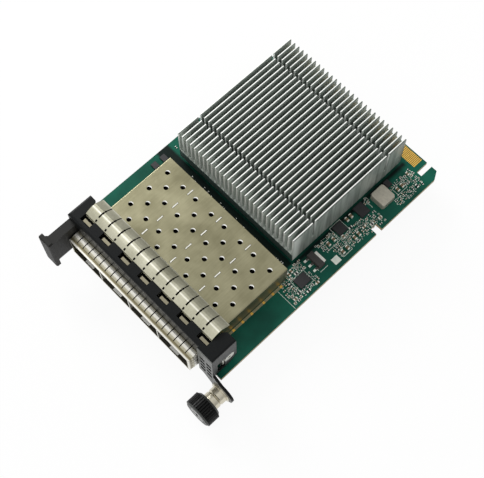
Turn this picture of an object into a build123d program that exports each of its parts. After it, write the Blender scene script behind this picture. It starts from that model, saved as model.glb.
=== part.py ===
from build123d import *
import math
import os

# Mezzanine network card with a ganged cage of four ports.
# Millimetres. X runs across the card, +Y towards the contact edge, +Z away from the component face.
# The origin is the middle of the contact edge, on the component face of the board.

os.makedirs("parts", exist_ok=True)


# Circuit board
board_width = 76.0
board_thickness = 1.57
board_length = 107.1
ear_notch_inner = 31.6
ear_notch_outer = 33.8
ear_notch_depth = 5.4
ear_chamfer_x = 1.8
ear_chamfer_y = 3.1
side_notch_depth = 2.8
side_notch_length = 2.8
side_notch_rear = 30.2
key_notch_width = 1.5
key_notch_depth = 5.6

# Edge contacts
contact_pitch = 0.6
contact_width = 0.38
contact_length = 4.2
contact_setback = 0.5
contact_thickness = 0.05
contact_groups = [14, 28, 14, 28]
contact_key_gap = 3.0

# Port cage
port_count = 4
port_pitch = 14.15
cage_centre_x = -0.8
cage_half_width = 28.9
cage_height = 9.4
cage_sheet = 0.4
cage_rear_y = -67.0
cage_seam = 0.1
vent_hole_radius = 0.95
vent_hole_pitch_x = 3.9
vent_hole_pitch_y = 8.5
vent_hole_middle_y = -80.1
divider_thickness = 0.4
divider_tab_length = 2.6
divider_tab_pitch = 7.0
divider_tab_front_y = -92.1
divider_tab_count = 4
divider_slot_clearance = 0.12
latch_tongue_width = 4.0
latch_tongue_length = 2.0
latch_tongue_setback = 0.3
latch_tongue_rise = 0.5
latch_window_width = 3.0
latch_window_length = 2.6
latch_window_gap = 0.6
vent_hole_sides = 10

# Front gasket round the mouth of the cage
gasket_wall = 0.45
gasket_length = 4.1
gasket_lip_length = 1.2
gasket_bulge = 0.7
gasket_side_bulge = 0.25
gasket_finger_count = 21
gasket_side_finger_count = 4
gasket_slit = 0.35
gasket_to_face = 0.1

# Folded bracket
sheet = 1.0
face_y = -108.2
bracket_left_x = -33.9
bracket_right_x = 36.2
bracket_bottom_z = -4.4
bracket_top_z = 18.8
bend_radius = 0.9
side_bend_radius = 0.7
bend_steps = 4
opening_clearance = 0.25
vent_plate_step = 0.7
vent_plate_left_x = 29.25
middle_plate_right_x = 30.1
top_flange_rear_y = -103.8
block_rear_y = -98.3
left_block_width = 4.1
right_block_width = 5.2
block_corner_radius = 1.4
side_flange_bottom_z = 2.0
side_flange_taper = 3.0
side_window_length = 3.4
side_window_height = 7.5
side_window_front = 1.2
side_window_bottom_z = 3.4
bottom_flange_depth = 3.2
vent_slot_columns = 2
vent_slot_rows = 4
vent_slot_width = 2.2
vent_slot_height = 2.0
vent_slot_first_x = 31.4
vent_slot_pitch_x = 3.0
vent_slot_first_z = 0.2
vent_slot_pitch_z = 3.7

# Gasket strip on the rear edge of the top flange
strip_sheet = 0.35
strip_end_gap = 0.15
strip_finger_count = 13
strip_slit = 0.4
strip_root_depth = 2.6
strip_front_rise = 0.15
strip_crest_rise = 1.25
strip_crest_back = 3.3
strip_rear_drop = 1.0
strip_rear_back = 7.5
strip_slit_start_back = 2.1
strip_bend_steps = 8
strip_gap = 0.1
notch_depth = 2.5
notch_width = 4.6
strip_tab_width = 3.4
strip_tab_length = 1.1
strip_tab_gap = 1.2
strip_tab_below_top = 0.5
strip_tab_clearance = 0.1

# Mounting blocks and screws of the bracket
block_height = 11.5
block_length = 5.6
block_rear_inset = 0.3
block_gap = 0.1
side_screw_z = 8.4
side_screw_head_radius = 2.2
head_recess = 0.5
head_clearance = 0.1
side_screw_radius = 1.0
side_screw_reach = 3.1
thread_clearance = 0.05
shank_clearance = 0.2
small_round_sides = 14
board_screw_radius = 1.0
board_screw_reach = 3.0
board_screw_head_radius = 1.8
board_screw_head_height = 0.9
recess_radius = 0.7
recess_depth = 0.5

# Pull tab
pull_arm_width = 3.3
pull_arm_top_z = 15.0
pull_arm_bottom_z = 1.4
pull_length = 11.7
pull_plate_thickness = 1.7
pull_plate_overhang = 2.1
pull_plate_top_z = 15.6
pull_plate_bottom_z = -2.6
pull_plate_inner_overhang = 0.25
pull_root_chamfer = 0.9
pull_corner = 0.5
pull_edge = 0.35
pull_tongue_thickness = 1.5
pull_tongue_top_z = 13.2
pull_tongue_bottom_z = 3.6
pull_tongue_length = 2.6
pull_tongue_gap = 0.1
pull_slot_clearance = 0.15
pull_screw_pitch = 5.4
pull_screw_head_radius = 1.3
pull_screw_radius = 0.7
pull_screw_reach = 1.9

# Thumbscrew
screw_axis_x = 39.8
screw_axis_z = -6.5
ear_radius = 5.0
ferrule_radius = 3.2
ferrule_length = 6.4
ferrule_flange_radius = 3.9
ferrule_flange_thickness = 0.6
ferrule_groove_depth = 0.35
ferrule_groove_width = 0.9
ferrule_groove_back = 2.6
ferrule_stem_radius = 2.6
ferrule_stem_clearance = 0.02
ferrule_pocket_radius = 2.3
ferrule_lip = 0.6
ferrule_rear_wall = 1.0
knob_radius = 5.5
knob_length = 5.8
knob_bore_radius = 3.45
knob_skirt_depth = 4.1
knob_overlap = 1.0
knob_flute_count = 36
knob_flute_depth = 0.25
knob_edge = 0.5
knob_rear_edge = 0.8
screw_head_radius = 3.0
screw_head_depth = 1.0
screw_radius = 1.5
screw_tip_proud = 0.2
screw_collar_radius = 2.0
screw_collar_length = 0.8
screw_collar_gap = 0.05
running_clearance = 0.06
cross_recess_width = 0.8
cross_recess_length = 3.4
cross_recess_depth = 0.7
press_travel = 3.0
spring_wire_radius = 0.2
spring_coil_radius = 1.85
spring_turns = 3
spring_steps = 14
spring_end_gap = 0.1

# Heatsink
heatsink_left_inset = 7.4
heatsink_right_inset = 12.7
heatsink_front_y = -61.8
heatsink_rear_y = -7.8
heatsink_bottom_z = 2.4
heatsink_base_top_z = 7.0
heatsink_top_z = 19.2
fin_count = 28
fin_thickness = 0.7
cross_cut_width = 1.2
cross_cut_y = [-52.0, -16.7]
cross_cut_floor_z = 7.4
standoff_radius = 2.6
standoff_inset_x = 5.5
standoff_inset_y = 6.0
heatsink_screw_radius = 1.25
heatsink_screw_depth = 2.6
heatsink_screw_head_radius = 2.2
heatsink_screw_head_height = 1.1

# Network controller and its thermal pad
chip_side = 25.0
chip_substrate_height = 1.1
chip_lid_side = 21.0
chip_lid_height = 0.8

# Host connectors in the cage
connector_width = 10.6
connector_length = 9.0
connector_height = 5.8
connector_mouth_width = 8.8
connector_mouth_height = 1.6
connector_mouth_depth = 5.0
connector_mouth_z = 2.6
connector_rear_gap = 1.2
cage_base_gap = 0.4

# Parts on the component face, placed by their distance from the right edge of the board and by Y
inductor_size = (6.5, 6.3, 3.0)
inductor_at = (7.95, -21.75)
inductor_corner = 0.6
rear_stage_size = (4.8, 4.1, 0.9)
rear_stage_at = (9.8, -30.35)
middle_stage_size = (4.0, 4.0, 0.9)
middle_stage_at = (10.1, -40.8)
square_chip_size = (4.0, 4.9, 1.0)
square_chip_at = (5.7, -63.75)
small_chip_size = (2.6, 2.2, 0.9)
left_chip_inset = 3.4
small_chip_places = [
    (10.4, -16.4),
    (board_width - left_chip_inset, -66.2),
    (board_width - left_chip_inset, -70.4),
]
regulator_body = (6.5, 2.7, 1.6)
regulator_at = (7.65, -55.2)
regulator_tab_width = 4.6
regulator_tab_length = 1.2
regulator_lead_width = 0.7
regulator_lead_length = 1.9
regulator_lead_thickness = 0.3
regulator_lead_pitch = 2.3
capacitor_size = (1.7, 0.9, 0.9)
capacitor_places = [
    (10.8, -36.6), (10.8, -34.6), (8.8, -47.7), (8.8, -45.2), (6.4, -15.4), (6.4, -13.2),
    (3.4, -44.0), (3.4, -46.2), (4.2, -37.5), (4.2, -39.5),
]
underside_chip_size = (8.0, 6.0, 1.0)
underside_chip_places = [(56.0, -24.0), (22.0, -80.0)]
underside_capacitor_places = [(44.0, -30.0), (41.0, -30.0), (38.0, -30.0), (35.0, -30.0), (44.0, -38.0), (35.0, -38.0)]


# Places worked out from the sizes above
board_half = board_width / 2
heatsink_left_x = -board_half + heatsink_left_inset
heatsink_right_x = board_half - heatsink_right_inset
pull_front_y = face_y - pull_length
cage_left_x = cage_centre_x - cage_half_width
cage_right_x = cage_centre_x + cage_half_width
face_inner_y = face_y + sheet
vent_plate_y = face_y - vent_plate_step
cage_mouth_y = face_y - gasket_to_face - gasket_length
strip_left_x = bracket_left_x + left_block_width
strip_right_x = bracket_right_x - right_block_width
strip_pitch = (strip_right_x - strip_left_x) / strip_finger_count
port_centres = [cage_centre_x + (i - (port_count - 1) / 2) * port_pitch for i in range(port_count)]
divider_centres = [cage_centre_x + (i - (port_count - 2) / 2) * port_pitch for i in range(port_count - 1)]
connector_rear = cage_rear_y - cage_sheet - connector_rear_gap
connector_front = connector_rear - connector_length
cage_base_rear_y = connector_front - cage_base_gap
divider_tab_places = [divider_tab_front_y + i * divider_tab_pitch for i in range(divider_tab_count)]
block_centre_y = block_rear_y - block_rear_inset - block_length / 2
right_block_left = bracket_right_x - right_block_width
heatsink_centre_x = (heatsink_left_x + heatsink_right_x) / 2
heatsink_centre_y = (heatsink_front_y + heatsink_rear_y) / 2
chip_height = chip_substrate_height + chip_lid_height


def box_between(low, high):
    """A box from its lowest to its highest corner, added to or cut from the part being built."""
    return [(a + b) / 2 for a, b in zip(low, high)], [b - a for a, b in zip(low, high)]


def add_box(low, high, mode=Mode.ADD):
    centre, size = box_between(low, high)
    with Locations(tuple(centre)):
        Box(*size, mode=mode)


def finish(builder, name):
    builder.part.label = name
    export_step(builder.part, f"parts/{name}.step")


def forward_plane(x, y, z):
    """A sketch plane at the point, facing the front of the card, with X to the right and Z up."""
    return Plane(origin=(x, y, z), x_dir=(1, 0, 0), z_dir=(0, -1, 0))


def round_hole(radius, sides=small_round_sides):
    """A many-sided hole that clears a circle of the radius."""
    RegularPolygon(radius, sides, major_radius=False)


def bend_points(centre, radius, start, end):
    """Points along a bend from one angle to another, in degrees, for an outline."""
    points = []
    for i in range(bend_steps + 1):
        angle = math.radians(start + (end - start) * i / bend_steps)
        points.append((centre[0] + radius * math.cos(angle), centre[1] + radius * math.sin(angle)))
    return points


# Circuit board
with BuildPart() as circuit_board:
    with BuildSketch(Plane.XY.offset(-board_thickness)):
        with Locations((0, -board_length / 2)):
            Rectangle(board_width, board_length)
        for side in (-1, 1):
            notch_centre = side * (ear_notch_inner + ear_notch_outer) / 2
            with Locations((notch_centre, -ear_notch_depth / 2)):
                Rectangle(ear_notch_outer - ear_notch_inner, ear_notch_depth, mode=Mode.SUBTRACT)
            with Locations((side * (board_half - side_notch_depth / 2), -side_notch_rear - side_notch_length / 2)):
                Rectangle(side_notch_depth, side_notch_length, mode=Mode.SUBTRACT)
            with BuildLine():
                Polyline(
                    (side * board_half, 0),
                    (side * (board_half - ear_chamfer_x), 0),
                    (side * board_half, -ear_chamfer_y),
                    close=True,
                )
            make_face(mode=Mode.SUBTRACT)
    extrude(amount=board_thickness)

    contact_span = sum(contact_groups) * contact_pitch + (len(contact_groups) - 1) * contact_key_gap
    contact_rows = []
    run_x = -contact_span / 2
    for group, count in enumerate(contact_groups):
        contact_rows += [run_x + (i + 0.5) * contact_pitch for i in range(count)]
        run_x += count * contact_pitch
        if group < len(contact_groups) - 1:
            add_box(
                (run_x + (contact_key_gap - key_notch_width) / 2, -key_notch_depth, -board_thickness),
                (run_x + (contact_key_gap + key_notch_width) / 2, 0, 0),
                Mode.SUBTRACT,
            )
            run_x += contact_key_gap

    standoff_places = [
        (heatsink_centre_x + i * ((heatsink_right_x - heatsink_left_x) / 2 - standoff_inset_x),
         heatsink_centre_y + j * ((heatsink_rear_y - heatsink_front_y) / 2 - standoff_inset_y))
        for i in (-1, 1) for j in (-1, 1)
    ]
    with BuildSketch(Plane.XY.offset(-board_thickness)):
        with Locations(*standoff_places):
            round_hole(heatsink_screw_radius + shank_clearance)
    extrude(amount=board_thickness, mode=Mode.SUBTRACT)

    left_block_x = (bracket_left_x + sheet + block_gap + cage_left_x - block_gap) / 2
    right_block_x = (right_block_left + bracket_right_x - sheet - block_gap) / 2
    with BuildSketch(Plane.XY.offset(-board_thickness)):
        with Locations((left_block_x, block_centre_y), (right_block_x, block_centre_y)):
            round_hole(board_screw_radius + shank_clearance)
    extrude(amount=board_thickness, mode=Mode.SUBTRACT)
finish(circuit_board, "circuit_board")


# Gold contacts on both faces of the contact edge
for face_name, contact_z in (("top", 0), ("bottom", -board_thickness - contact_thickness)):
    with BuildPart() as edge_contacts:
        with BuildSketch(Plane.XY.offset(contact_z)):
            with Locations(*[(x, -contact_setback - contact_length / 2) for x in contact_rows]):
                Rectangle(contact_width, contact_length)
        extrude(amount=contact_thickness)
    finish(edge_contacts, f"edge_contacts_{face_name}")


# Cover of the cage: top, sides and rear of one folded sheet
with BuildPart() as cage_cover:
    add_box((cage_left_x, cage_mouth_y, 0), (cage_right_x, cage_rear_y, cage_height))
    add_box(
        (cage_left_x + cage_sheet, cage_mouth_y, 0),
        (cage_right_x - cage_sheet, cage_rear_y - cage_sheet, cage_height - cage_sheet),
        Mode.SUBTRACT,
    )
    long_edges = cage_cover.edges().filter_by(Axis.Y).group_by(Axis.Z)[-1]
    fillet(long_edges, cage_sheet * 0.9)
    with BuildSketch(Plane.XY.offset(cage_height - cage_sheet)):
        for port_x in port_centres:
            with Locations((port_x, vent_hole_middle_y)):
                with GridLocations(2 * vent_hole_pitch_x, vent_hole_pitch_y, 2, 3):
                    RegularPolygon(vent_hole_radius, vent_hole_sides)
            with Locations((port_x, vent_hole_middle_y - vent_hole_pitch_y / 2)):
                with GridLocations(1, vent_hole_pitch_y, 1, 3):
                    RegularPolygon(vent_hole_radius, vent_hole_sides)
        for divider_x in divider_centres:
            with Locations(*[(divider_x, y) for y in divider_tab_places]):
                Rectangle(
                    divider_thickness + 2 * divider_slot_clearance,
                    divider_tab_length + 2 * divider_slot_clearance,
                )
    extrude(amount=cage_sheet, mode=Mode.SUBTRACT)
finish(cage_cover, "cage_cover")


# Base of the cage: floor sheet with a latch tongue and a latch window for each port
with BuildPart() as cage_base:
    add_box(
        (cage_left_x + cage_sheet + cage_seam, cage_mouth_y, 0),
        (cage_right_x - cage_sheet - cage_seam, cage_base_rear_y, cage_sheet),
    )
    for port_x in port_centres:
        tongue_front = cage_mouth_y + latch_tongue_setback
        tongue_rear = tongue_front + latch_tongue_length
        add_box(
            (port_x - latch_tongue_width / 2, tongue_front, cage_sheet),
            (port_x + latch_tongue_width / 2, tongue_rear, cage_sheet + latch_tongue_rise),
        )
        add_box(
            (port_x - latch_window_width / 2, tongue_rear + latch_window_gap, 0),
            (port_x + latch_window_width / 2, tongue_rear + latch_window_gap + latch_window_length, cage_sheet),
            Mode.SUBTRACT,
        )
finish(cage_base, "cage_base")


# Three dividers between the ports, each with tabs that pass through the cover
with BuildPart() as cage_dividers:
    for divider_x in divider_centres:
        add_box(
            (divider_x - divider_thickness / 2, cage_mouth_y, cage_sheet),
            (divider_x + divider_thickness / 2, cage_base_rear_y, cage_height - cage_sheet),
        )
        add_box(
            (divider_x - divider_thickness / 2, cage_base_rear_y, cage_sheet),
            (divider_x + divider_thickness / 2, cage_rear_y - cage_sheet - cage_seam, cage_height - cage_sheet),
        )
        for tab_y in divider_tab_places:
            add_box(
                (divider_x - divider_thickness / 2, tab_y - divider_tab_length / 2, cage_height - cage_sheet),
                (divider_x + divider_thickness / 2, tab_y + divider_tab_length / 2, cage_height + cage_seam),
            )
finish(cage_dividers, "cage_dividers")


# Host connectors at the rear of the ports
for index, port_x in enumerate(port_centres, start=1):
    with BuildPart() as host_connector:
        add_box(
            (port_x - connector_width / 2, connector_front, 0),
            (port_x + connector_width / 2, connector_rear, connector_height),
        )
        nose_edges = host_connector.edges().filter_by(Axis.X).group_by(Axis.Y)[0].group_by(Axis.Z)[-1]
        chamfer(nose_edges, 0.8)
        add_box(
            (port_x - connector_mouth_width / 2, connector_front, connector_mouth_z),
            (port_x + connector_mouth_width / 2, connector_front + connector_mouth_depth,
             connector_mouth_z + connector_mouth_height),
            Mode.SUBTRACT,
        )
    finish(host_connector, f"host_connector_{index}")


# Front gasket: a smooth lip round the mouth, then a ring of bulged spring fingers
gasket_front_y = face_y - gasket_to_face - gasket_length
gasket_rear_y = face_y - gasket_to_face
gasket_left_x = cage_left_x - gasket_wall
gasket_right_x = cage_right_x + gasket_wall
gasket_low_z = -gasket_wall
gasket_high_z = cage_height + gasket_wall


def gasket_side(origin, normal, outward, bulge, length):
    """One wall, drawn by its depth along Y and its height over the cage, and run along the normal."""
    front = gasket_front_y
    rear = gasket_rear_y
    bulge_start = front + gasket_lip_length
    finger = rear - bulge_start
    with BuildSketch(Plane(origin=origin, x_dir=(0, 1, 0), z_dir=normal)) as section:
        with BuildLine():
            Polyline(
                (rear, 0),
                (front, 0),
                (front, outward * gasket_wall),
                (bulge_start, outward * gasket_wall),
                (bulge_start + finger * 0.25, outward * (gasket_wall + bulge * 0.65)),
                (bulge_start + finger * 0.65, outward * (gasket_wall + bulge)),
                (rear, outward * (gasket_wall + bulge * 0.9)),
                close=True,
            )
        make_face()
    extrude(section.sketch, amount=length)


with BuildPart() as front_gasket:
    add_box((gasket_left_x, gasket_front_y, gasket_low_z), (gasket_right_x, gasket_rear_y, gasket_high_z))
    gasket_side((gasket_left_x, 0, cage_height), (1, 0, 0), 1, gasket_bulge, gasket_right_x - gasket_left_x)
    gasket_side((gasket_left_x, 0, 0), (1, 0, 0), -1, gasket_bulge, gasket_right_x - gasket_left_x)
    gasket_side((cage_right_x, 0, gasket_low_z), (0, 0, 1), -1, gasket_side_bulge, gasket_high_z - gasket_low_z)
    gasket_side((cage_left_x, 0, gasket_low_z), (0, 0, 1), 1, gasket_side_bulge, gasket_high_z - gasket_low_z)
    add_box((cage_left_x, gasket_front_y, 0), (cage_right_x, gasket_rear_y, cage_height), Mode.SUBTRACT)
    slit_front = gasket_front_y + gasket_lip_length
    finger_pitch = (gasket_right_x - gasket_left_x) / gasket_finger_count
    for i in range(1, gasket_finger_count):
        slit_x = gasket_left_x + i * finger_pitch
        for low, high in ((cage_height, gasket_high_z + gasket_bulge), (gasket_low_z - gasket_bulge, 0)):
            add_box(
                (slit_x - gasket_slit / 2, slit_front, low),
                (slit_x + gasket_slit / 2, gasket_rear_y, high),
                Mode.SUBTRACT,
            )
    side_pitch = (gasket_high_z - gasket_low_z) / gasket_side_finger_count
    for i in range(1, gasket_side_finger_count):
        slit_z = gasket_low_z + i * side_pitch
        for low, high in ((gasket_left_x - gasket_bulge, cage_left_x), (cage_right_x, gasket_right_x + gasket_bulge)):
            add_box(
                (low, slit_front, slit_z - gasket_slit / 2),
                (high, gasket_rear_y, slit_z + gasket_slit / 2),
                Mode.SUBTRACT,
            )
finish(front_gasket, "front_gasket")


# Bracket: one folded sheet with its face, flanges, vent plate and the ear of the thumbscrew
notch_fingers = range(0, strip_finger_count, 2)
notch_centres = [strip_left_x + (i + 0.5) * strip_pitch for i in notch_fingers]
opening_left_x = cage_left_x - opening_clearance
opening_right_x = cage_right_x + opening_clearance
arm_outer_x = bracket_left_x
arm_inner_x = bracket_left_x + pull_arm_width
tongue_outer_x = bracket_left_x + sheet + pull_tongue_gap
tongue_inner_x = tongue_outer_x + pull_tongue_thickness
pull_screw_places = [
    (pull_tongue_top_z + pull_tongue_bottom_z - pull_screw_pitch) / 2,
    (pull_tongue_top_z + pull_tongue_bottom_z + pull_screw_pitch) / 2,
]
pull_screw_y = face_inner_y + pull_tongue_length / 2


def folded_face(front, rear, lower_z, left_x, right_x):
    """Face and top flange of the sheet with the bend between them, run along X."""
    with BuildSketch(Plane(origin=(left_x, 0, 0), x_dir=(0, 1, 0), z_dir=(1, 0, 0))) as section:
        with BuildLine():
            Polyline(
                (front, lower_z),
                (front + sheet, lower_z),
                (front + sheet, bracket_top_z - sheet),
                (rear, bracket_top_z - sheet),
                (rear, bracket_top_z),
                *bend_points((front + bend_radius, bracket_top_z - bend_radius), bend_radius, 90, 180),
                close=True,
            )
        make_face()
    extrude(section.sketch, amount=right_x - left_x)


def recessed_hole(outer_x, y, z, inward, head_radius, hole_radius):
    """A hole through one sheet along X, with a shallow recess for a flat head."""
    for radius, depth in ((head_radius, head_recess), (hole_radius, sheet)):
        with BuildSketch(Plane(origin=(outer_x, y, z), z_dir=(inward, 0, 0))) as ring:
            RegularPolygon(radius, small_round_sides)
        extrude(ring.sketch, amount=depth, mode=Mode.SUBTRACT)


with BuildPart() as bracket:
    folded_face(face_y, top_flange_rear_y, bracket_bottom_z, bracket_left_x, middle_plate_right_x)
    folded_face(vent_plate_y, block_rear_y, side_flange_bottom_z + side_flange_taper, vent_plate_left_x, bracket_right_x)

    with BuildSketch(forward_plane(0, vent_plate_y + sheet, 0)):
        with BuildLine():
            Polyline(
                (vent_plate_left_x, bracket_bottom_z),
                (vent_plate_left_x, side_flange_bottom_z + side_flange_taper),
                (bracket_right_x, side_flange_bottom_z + side_flange_taper),
                (bracket_right_x, side_flange_bottom_z),
                (screw_axis_x, screw_axis_z + ear_radius),
                (screw_axis_x, screw_axis_z),
                (screw_axis_x - ear_radius, screw_axis_z - ear_radius * 0.25),
                (bracket_right_x - ear_radius, bracket_bottom_z),
                close=True,
            )
        make_face()
        with Locations((screw_axis_x, screw_axis_z)):
            Circle(ear_radius)
    extrude(amount=sheet)

    with BuildSketch(Plane.XY.offset(bracket_top_z - sheet)):
        with BuildLine():
            Polyline(
                (bracket_left_x, top_flange_rear_y - sheet),
                (bracket_left_x, block_rear_y),
                (strip_left_x - block_corner_radius, block_rear_y),
                (strip_left_x, block_rear_y - block_corner_radius),
                (strip_left_x, top_flange_rear_y - sheet),
                close=True,
            )
        make_face()
    extrude(amount=sheet)
    with BuildSketch(Plane.XY.offset(bracket_top_z - sheet)):
        with BuildLine():
            Polyline(
                (vent_plate_left_x, top_flange_rear_y),
                (strip_right_x, top_flange_rear_y),
                (strip_right_x, block_rear_y - block_corner_radius),
                (strip_right_x + block_corner_radius, block_rear_y),
                (vent_plate_left_x, block_rear_y),
                close=True,
            )
        make_face()
        with Locations(*[(x, top_flange_rear_y - notch_depth / 2) for x in notch_centres]):
            Rectangle(notch_width, notch_depth)
    extrude(amount=sheet, mode=Mode.SUBTRACT)

    for flange_x, front in ((bracket_left_x, face_y), (bracket_right_x - sheet, vent_plate_y)):
        with BuildSketch(Plane(origin=(flange_x, 0, 0), x_dir=(0, 1, 0), z_dir=(1, 0, 0))):
            with BuildLine():
                Polyline(
                    (front + sheet / 2, bracket_top_z - sheet / 2),
                    (block_rear_y, bracket_top_z - sheet / 2),
                    (block_rear_y, side_flange_bottom_z + side_flange_taper),
                    (block_rear_y - side_flange_taper, side_flange_bottom_z),
                    (front + sheet / 2, side_flange_bottom_z),
                    close=True,
                )
            make_face()
        extrude(amount=sheet)

    add_box(
        (bracket_left_x, face_inner_y, bracket_bottom_z),
        (bracket_right_x - ear_radius, face_y + bottom_flange_depth, bracket_bottom_z + sheet),
    )

    # Rounded outer corners where the top flange turns into the side flanges
    with BuildSketch(forward_plane(0, block_rear_y, 0)):
        for corner_x, inward in ((bracket_left_x, 1), (bracket_right_x, -1)):
            bend_centre = (corner_x + inward * side_bend_radius, bracket_top_z - side_bend_radius)
            side_angle = 90 + inward * 90
            with BuildLine():
                Polyline((corner_x, bracket_top_z), *bend_points(bend_centre, side_bend_radius, 90, side_angle), close=True)
            make_face()
    extrude(amount=block_rear_y - vent_plate_y, mode=Mode.SUBTRACT)

    # Opening for the cage, the slot of the pull tab and the vent slots
    add_box(
        (opening_left_x, face_y, -opening_clearance),
        (opening_right_x, face_inner_y, cage_height + opening_clearance),
        Mode.SUBTRACT,
    )
    add_box(
        (tongue_outer_x - pull_slot_clearance, face_y, pull_tongue_bottom_z - pull_slot_clearance),
        (tongue_inner_x + pull_slot_clearance, face_inner_y, pull_tongue_top_z + pull_slot_clearance),
        Mode.SUBTRACT,
    )
    vent_middle_x = vent_slot_first_x + (vent_slot_columns - 1) * vent_slot_pitch_x / 2
    vent_middle_z = vent_slot_first_z + (vent_slot_rows - 1) * vent_slot_pitch_z / 2
    with BuildSketch(forward_plane(0, vent_plate_y + sheet, 0)):
        with Locations((vent_middle_x, vent_middle_z)):
            with GridLocations(vent_slot_pitch_x, vent_slot_pitch_z, vent_slot_columns, vent_slot_rows):
                Rectangle(vent_slot_width, vent_slot_height)
        with Locations((screw_axis_x, screw_axis_z)):
            Circle(ferrule_stem_radius + ferrule_stem_clearance)
    extrude(amount=sheet, mode=Mode.SUBTRACT)

    # Window and screw hole of the right side flange, and the screw holes of the left one
    window_front = vent_plate_y + sheet + side_window_front
    add_box(
        (bracket_right_x - sheet, window_front, side_window_bottom_z),
        (bracket_right_x, window_front + side_window_length, side_window_bottom_z + side_window_height),
        Mode.SUBTRACT,
    )
    for outer_x, inward in ((bracket_right_x, -1), (bracket_left_x, 1)):
        recessed_hole(
            outer_x, block_centre_y, side_screw_z, inward,
            side_screw_head_radius, side_screw_radius + shank_clearance,
        )
    for screw_z in pull_screw_places:
        recessed_hole(
            bracket_left_x, pull_screw_y, screw_z, 1,
            pull_screw_head_radius, pull_screw_radius + shank_clearance / 2,
        )
finish(bracket, "bracket")


# Gasket strip: a clipped root under the flange, a front slope, a crest and thirteen fingers behind it
flange_under_z = bracket_top_z - sheet
strip_front_y = top_flange_rear_y + strip_gap
strip_top_z = bracket_top_z + strip_front_rise
strip_crest_z = strip_top_z + strip_crest_rise
strip_root_z = flange_under_z - strip_gap - strip_sheet / 2
strip_centre_line = [
    (strip_front_y - strip_root_depth, strip_root_z),
    (strip_front_y + strip_sheet / 2, strip_root_z),
    (strip_front_y + strip_sheet / 2, strip_top_z),
]
for i in range(1, strip_bend_steps + 1):
    along = i / strip_bend_steps
    if along < 0.5:
        lift = math.sin(along * math.pi)
        strip_centre_line.append((
            strip_front_y + strip_sheet / 2 + strip_crest_back * 2 * along,
            strip_top_z + strip_crest_rise * lift,
        ))
    else:
        drop = 1 - math.cos((along - 0.5) * math.pi)
        strip_centre_line.append((
            strip_front_y + strip_crest_back + (strip_rear_back - strip_crest_back) * (2 * along - 1),
            strip_crest_z - (strip_crest_rise + strip_rear_drop) * drop,
        ))


def ribbon(points, thickness):
    """Closed outline of a bent sheet of even thickness, given its centre line."""
    left = []
    right = []
    for i, (y, z) in enumerate(points):
        before = points[max(i - 1, 0)]
        after = points[min(i + 1, len(points) - 1)]
        first = (y - before[0], z - before[1]) if i > 0 else (after[0] - y, after[1] - z)
        second = (after[0] - y, after[1] - z) if i < len(points) - 1 else first
        first_length = math.hypot(*first)
        second_length = math.hypot(*second)
        tangent_y = first[0] / first_length + second[0] / second_length
        tangent_z = first[1] / first_length + second[1] / second_length
        tangent_length = math.hypot(tangent_y, tangent_z)
        normal = (-tangent_z / tangent_length, tangent_y / tangent_length)
        spread = normal[0] * (-first[1] / first_length) + normal[1] * (first[0] / first_length)
        half = thickness / 2 / max(spread, 0.5)
        left.append((y + normal[0] * half, z + normal[1] * half))
        right.append((y - normal[0] * half, z - normal[1] * half))
    return left + right[::-1]


with BuildPart() as gasket_strip:
    with BuildSketch(Plane(origin=(strip_left_x + strip_end_gap, 0, 0), x_dir=(0, 1, 0), z_dir=(1, 0, 0))):
        with BuildLine():
            Polyline(*ribbon(strip_centre_line, strip_sheet), close=True)
        make_face()
    extrude(amount=strip_right_x - strip_left_x - 2 * strip_end_gap)
    for i in range(1, strip_finger_count):
        slit_x = strip_left_x + i * strip_pitch
        add_box(
            (slit_x - strip_slit / 2, strip_front_y + strip_slit_start_back, flange_under_z),
            (slit_x + strip_slit / 2, strip_front_y + strip_rear_back + 1, strip_crest_z + 1),
            Mode.SUBTRACT,
        )
    for x in notch_centres:
        tab_right = x + notch_width / 2 - strip_tab_clearance
        tab_rear = strip_front_y - strip_tab_gap
        add_box(
            (tab_right - strip_tab_width, tab_rear - strip_tab_length, flange_under_z - strip_gap - strip_sheet),
            (tab_right, tab_rear, bracket_top_z - strip_tab_below_top),
        )
finish(gasket_strip, "gasket_strip")


# Mounting blocks between the board and the side flanges
with BuildPart() as mounting_blocks:
    left_low = bracket_left_x + sheet + block_gap
    left_high = cage_left_x - block_gap
    right_low = right_block_left
    right_high = bracket_right_x - sheet - block_gap
    block_front = block_centre_y - block_length / 2
    block_back = block_centre_y + block_length / 2
    for low, high in ((left_low, left_high), (right_low, right_high)):
        add_box((low, block_front, 0), (high, block_back, block_height))
    for outer_x, inward in ((right_high, -1), (left_low, 1)):
        with BuildSketch(Plane(origin=(outer_x, block_centre_y, side_screw_z), z_dir=(inward, 0, 0))):
            round_hole(side_screw_radius + thread_clearance)
        extrude(amount=side_screw_reach - sheet, mode=Mode.SUBTRACT)
    with BuildSketch(Plane.XY):
        with Locations((left_block_x, block_centre_y), (right_block_x, block_centre_y)):
            round_hole(board_screw_radius + thread_clearance)
    extrude(amount=board_screw_reach + 0.2, mode=Mode.SUBTRACT)
finish(mounting_blocks, "mounting_blocks")


def recessed_screw(outer_x, y, z, inward, head_radius, radius, reach):
    """A flush screw with a flat head along X, a little smaller than its recess."""
    for ring_radius, depth in ((head_radius - head_clearance, head_recess), (radius, reach)):
        with BuildSketch(Plane(origin=(outer_x, y, z), z_dir=(inward, 0, 0))) as ring:
            RegularPolygon(ring_radius, small_round_sides)
        extrude(ring.sketch, amount=depth)


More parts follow.
